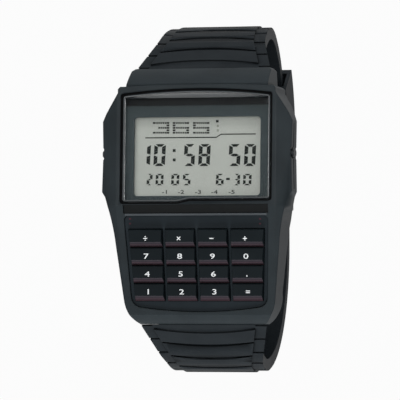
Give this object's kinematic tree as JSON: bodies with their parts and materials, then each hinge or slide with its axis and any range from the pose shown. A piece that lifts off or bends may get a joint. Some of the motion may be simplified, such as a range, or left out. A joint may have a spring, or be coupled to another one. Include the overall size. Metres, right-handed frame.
{
  "type": "calculator watch",
  "caption": "Digital wristwatch in dark resin with a calculator keypad below its display, side push buttons and a resin strap closed with a buckle.",
  "frame": {"origin": "under the middle of the watch, level with the lowest face of the buckle, which the closed watch stands on", "axes": "+Z is the way the display looks, +Y points to twelve o'clock, +X to three o'clock"},
  "size_m": [0.0368, 0.0676, 0.0518],
  "materials": {
    "case_resin": "satin moulded resin",
    "strap_resin": "satin moulded resin",
    "panel_plastic": "fine grain",
    "key_plastic": "fine grain",
    "module_plastic": "moulded",
    "clear_glass": "polished",
    "border_print": "printed film",
    "display_panel": "grey-green display",
    "light_panel": "smooth",
    "board": "lacquered board",
    "cable": "amber film",
    "seal_rubber": "soft",
    "steel": "brushed",
    "button_steel": "satin dark",
    "brass": "bright"
  },
  "bodies": {
    "watch": {"backlight_panel": "light_panel", "battery": "steel", "battery_clip": "steel", "button_contact_left": "brass", "button_contact_right": "brass", "button_seal_left": "seal_rubber", "button_seal_right": "seal_rubber", "buzzer_disc": "brass", "case_back": "steel", "case_back_screws": "steel", "case_back_seal": "seal_rubber", "case_body": "case_resin", "chip_resin": "module_plastic", "circuit_board": "board", "contact_strip_lower": "seal_rubber", "contact_strip_upper": "seal_rubber", "display_border": "border_print", "display_glass": "clear_glass", "display_panel": "display_panel", "glass_seal": "seal_rubber", "keypad_board": "board", "keypad_cable": "cable", "keypad_membrane": "seal_rubber", "keypad_panel": "panel_plastic", "module_frame": "module_plastic", "quartz_crystal": "steel", "spring_bar_lower": "steel", "spring_bar_upper": "steel", "strap_buckle_half": "strap_resin", "strap_hole_half": "strap_resin"},
    "moving_key_divide": {"key_divide": "key_plastic"},
    "moving_key_multiply": {"key_multiply": "key_plastic"},
    "moving_key_minus": {"key_minus": "key_plastic"},
    "moving_key_plus": {"key_plus": "key_plastic"},
    "moving_key_7": {"key_7": "key_plastic"},
    "moving_key_8": {"key_8": "key_plastic"},
    "moving_key_9": {"key_9": "key_plastic"},
    "moving_key_0": {"key_0": "key_plastic"},
    "moving_key_4": {"key_4": "key_plastic"},
    "moving_key_5": {"key_5": "key_plastic"},
    "moving_key_6": {"key_6": "key_plastic"},
    "moving_key_point": {"key_point": "key_plastic"},
    "moving_key_1": {"key_1": "key_plastic"},
    "moving_key_2": {"key_2": "key_plastic"},
    "moving_key_3": {"key_3": "key_plastic"},
    "moving_key_equals": {"key_equals": "key_plastic"},
    "moving_button_left": {"side_button_left": "button_steel", "button_clip_left": "steel", "button_spring_left": "steel"},
    "moving_button_right": {"side_button_right": "button_steel", "button_clip_right": "steel", "button_spring_right": "steel"},
    "buckle": {"buckle_frame": "steel", "buckle_bar": "steel"},
    "tongue": {"buckle_tongue": "steel"},
    "keeper": {"strap_keeper": "strap_resin"}
  },
  "joints": [
    {"name": "press_key_divide", "type": "slide", "parent": "watch", "child": "moving_key_divide", "axis": [0, 0.2079, -0.9781], "range_m": [0, 0.0004], "stiffness_N_per_m": 1000, "springref_m": -0.0004},
    {"name": "press_key_multiply", "type": "slide", "parent": "watch", "child": "moving_key_multiply", "axis": [0, 0.2079, -0.9781], "range_m": [0, 0.0004], "stiffness_N_per_m": 1000, "springref_m": -0.0004},
    {"name": "press_key_minus", "type": "slide", "parent": "watch", "child": "moving_key_minus", "axis": [0, 0.2079, -0.9781], "range_m": [0, 0.0004], "stiffness_N_per_m": 1000, "springref_m": -0.0004},
    {"name": "press_key_plus", "type": "slide", "parent": "watch", "child": "moving_key_plus", "axis": [0, 0.2079, -0.9781], "range_m": [0, 0.0004], "stiffness_N_per_m": 1000, "springref_m": -0.0004},
    {"name": "press_key_7", "type": "slide", "parent": "watch", "child": "moving_key_7", "axis": [0, 0.2079, -0.9781], "range_m": [0, 0.0004], "stiffness_N_per_m": 1000, "springref_m": -0.0004},
    {"name": "press_key_8", "type": "slide", "parent": "watch", "child": "moving_key_8", "axis": [0, 0.2079, -0.9781], "range_m": [0, 0.0004], "stiffness_N_per_m": 1000, "springref_m": -0.0004},
    {"name": "press_key_9", "type": "slide", "parent": "watch", "child": "moving_key_9", "axis": [0, 0.2079, -0.9781], "range_m": [0, 0.0004], "stiffness_N_per_m": 1000, "springref_m": -0.0004},
    {"name": "press_key_0", "type": "slide", "parent": "watch", "child": "moving_key_0", "axis": [0, 0.2079, -0.9781], "range_m": [0, 0.0004], "stiffness_N_per_m": 1000, "springref_m": -0.0004},
    {"name": "press_key_4", "type": "slide", "parent": "watch", "child": "moving_key_4", "axis": [0, 0.2079, -0.9781], "range_m": [0, 0.0004], "stiffness_N_per_m": 1000, "springref_m": -0.0004},
    {"name": "press_key_5", "type": "slide", "parent": "watch", "child": "moving_key_5", "axis": [0, 0.2079, -0.9781], "range_m": [0, 0.0004], "stiffness_N_per_m": 1000, "springref_m": -0.0004},
    {"name": "press_key_6", "type": "slide", "parent": "watch", "child": "moving_key_6", "axis": [0, 0.2079, -0.9781], "range_m": [0, 0.0004], "stiffness_N_per_m": 1000, "springref_m": -0.0004},
    {"name": "press_key_point", "type": "slide", "parent": "watch", "child": "moving_key_point", "axis": [0, 0.2079, -0.9781], "range_m": [0, 0.0004], "stiffness_N_per_m": 1000, "springref_m": -0.0004},
    {"name": "press_key_1", "type": "slide", "parent": "watch", "child": "moving_key_1", "axis": [0, 0.2079, -0.9781], "range_m": [0, 0.0004], "stiffness_N_per_m": 1000, "springref_m": -0.0004},
    {"name": "press_key_2", "type": "slide", "parent": "watch", "child": "moving_key_2", "axis": [0, 0.2079, -0.9781], "range_m": [0, 0.0004], "stiffness_N_per_m": 1000, "springref_m": -0.0004},
    {"name": "press_key_3", "type": "slide", "parent": "watch", "child": "moving_key_3", "axis": [0, 0.2079, -0.9781], "range_m": [0, 0.0004], "stiffness_N_per_m": 1000, "springref_m": -0.0004},
    {"name": "press_key_equals", "type": "slide", "parent": "watch", "child": "moving_key_equals", "axis": [0, 0.2079, -0.9781], "range_m": [0, 0.0004], "stiffness_N_per_m": 1000, "springref_m": -0.0004},
    {"name": "press_button_left", "type": "slide", "parent": "watch", "child": "moving_button_left", "axis": [1, 0, 0], "range_m": [0, 0.0005], "stiffness_N_per_m": 1000, "springref_m": -0.0006},
    {"name": "press_button_right", "type": "slide", "parent": "watch", "child": "moving_button_right", "axis": [-1, 0, 0], "range_m": [0, 0.0005], "stiffness_N_per_m": 1000, "springref_m": -0.0006},
    {"name": "buckle_swing", "type": "hinge", "parent": "watch", "child": "buckle", "pos_m": [0, 0.007, 0.0049], "axis": [1, 0, 0], "range_deg": [0, 6]},
    {"name": "tongue_swing", "type": "hinge", "parent": "buckle", "child": "tongue", "pos_m": [0, 0.007, 0.0049], "axis": [1, 0, 0], "range_deg": [0, 6]},
    {"name": "keeper_shift", "type": "hinge", "parent": "watch", "child": "keeper", "pos_m": [0, 0.013, 0.02435], "axis": [1, 0, 0], "range_deg": [0, 20]}
  ]
}
